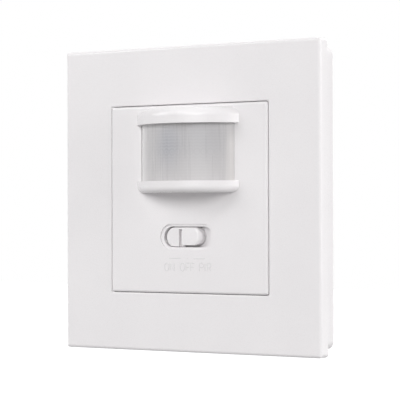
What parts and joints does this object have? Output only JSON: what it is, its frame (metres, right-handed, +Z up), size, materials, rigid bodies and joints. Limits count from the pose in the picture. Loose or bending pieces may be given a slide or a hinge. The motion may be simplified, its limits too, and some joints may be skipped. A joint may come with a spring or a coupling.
{
  "type": "motion sensor light switch",
  "caption": "Square flush-mounted wall switch: a curved motion-sensor lens between lips above a small mode slider, with mounting strap, spreading claws and rear terminals.",
  "frame": {"origin": "on the wall plane, midway between the two box screws", "axes": "+Z up on the wall, +X to the right as seen from the room, +Y into the wall, front faces -Y"},
  "size_m": [0.08, 0.0442, 0.08],
  "materials": {
    "white_plastic": "satin moulded",
    "lens_plastic": "milky translucent",
    "inner_plastic": "fine moulded",
    "zinc_steel": "zinc plated",
    "sensor_can": "nickel plated",
    "filter_window": "polished",
    "board_laminate": "solder mask",
    "black_plastic": "moulded",
    "phenolic": "pressed laminate",
    "photocell_ceramic": "coated ceramic",
    "trimmer_blue": "moulded",
    "relay_blue": "moulded",
    "film_yellow": "moulded",
    "can_sleeve": "shrink sleeve",
    "varistor_coat": "dipped coating",
    "fuse_case": "moulded",
    "terminal_plastic": "moulded",
    "clamp_brass": "turned"
  },
  "bodies": {
    "chassis": {"cover_frame": "white_plastic", "base_frame": "white_plastic", "base_screws": "zinc_steel", "center_cover": "white_plastic", "fresnel_lens": "lens_plastic", "lens_retainer": "inner_plastic", "switch_shell": "zinc_steel", "switch_base": "phenolic", "pir_sensor": "sensor_can", "pir_window": "filter_window", "photocell": "photocell_ceramic", "controller_chip": "black_plastic", "time_trimmer_body": "trimmer_blue", "light_trimmer_body": "trimmer_blue", "sensor_board": "board_laminate", "header_strip": "black_plastic", "board_spacers": "inner_plastic", "board_screws": "zinc_steel", "power_board": "board_laminate", "relay": "relay_blue", "film_capacitor": "film_yellow", "electrolytic_capacitor": "can_sleeve", "varistor": "varistor_coat", "fuse": "fuse_case", "rectifier_diodes": "black_plastic", "terminal_block": "terminal_plastic", "terminal_clamps": "clamp_brass", "terminal_screws": "zinc_steel", "rear_housing": "inner_plastic", "housing_screws": "zinc_steel", "mounting_strap": "zinc_steel", "claw_pins": "zinc_steel"},
    "slider": {"slider_knob": "white_plastic", "switch_lever": "black_plastic"},
    "time_rotor": {"time_trimmer_rotor": "inner_plastic"},
    "light_rotor": {"light_trimmer_rotor": "inner_plastic"},
    "right_screw": {"right_claw_screw": "zinc_steel"},
    "left_screw": {"left_claw_screw": "zinc_steel"},
    "right_claw": {"right_claw": "zinc_steel"},
    "left_claw": {"left_claw": "zinc_steel"}
  },
  "joints": [
    {"name": "slider_travel", "type": "slide", "parent": "chassis", "child": "slider", "axis": [1, 0, 0], "range_m": [0, 0.0026]},
    {"name": "time_setting", "type": "hinge", "parent": "chassis", "child": "time_rotor", "pos_m": [-0.013, 0, -0.0055], "axis": [0, 1, 0], "range_deg": [-120, 120]},
    {"name": "light_setting", "type": "hinge", "parent": "chassis", "child": "light_rotor", "pos_m": [0.013, 0, -0.0055], "axis": [0, 1, 0], "range_deg": [-120, 120]},
    {"name": "right_screw_turn", "type": "hinge", "parent": "chassis", "child": "right_screw", "pos_m": [0.0242, 0, 0], "axis": [0, 1, 0], "range_deg": [0, 720]},
    {"name": "left_screw_turn", "type": "hinge", "parent": "chassis", "child": "left_screw", "pos_m": [-0.0242, 0, 0], "axis": [0, 1, 0], "range_deg": [0, 720]},
    {"name": "right_claw_spread", "type": "hinge", "parent": "chassis", "child": "right_claw", "pos_m": [0.0274, 0.0034, 0], "axis": [0, 0, -1], "range_deg": [0, 18]},
    {"name": "left_claw_spread", "type": "hinge", "parent": "chassis", "child": "left_claw", "pos_m": [-0.0274, 0.0034, 0], "axis": [0, 0, 1], "range_deg": [0, 18]}
  ],
  "couplings": [
    {"joint": "right_claw_spread", "follows": "right_screw_turn", "ratio": 0.025},
    {"joint": "left_claw_spread", "follows": "left_screw_turn", "ratio": 0.025}
  ]
}
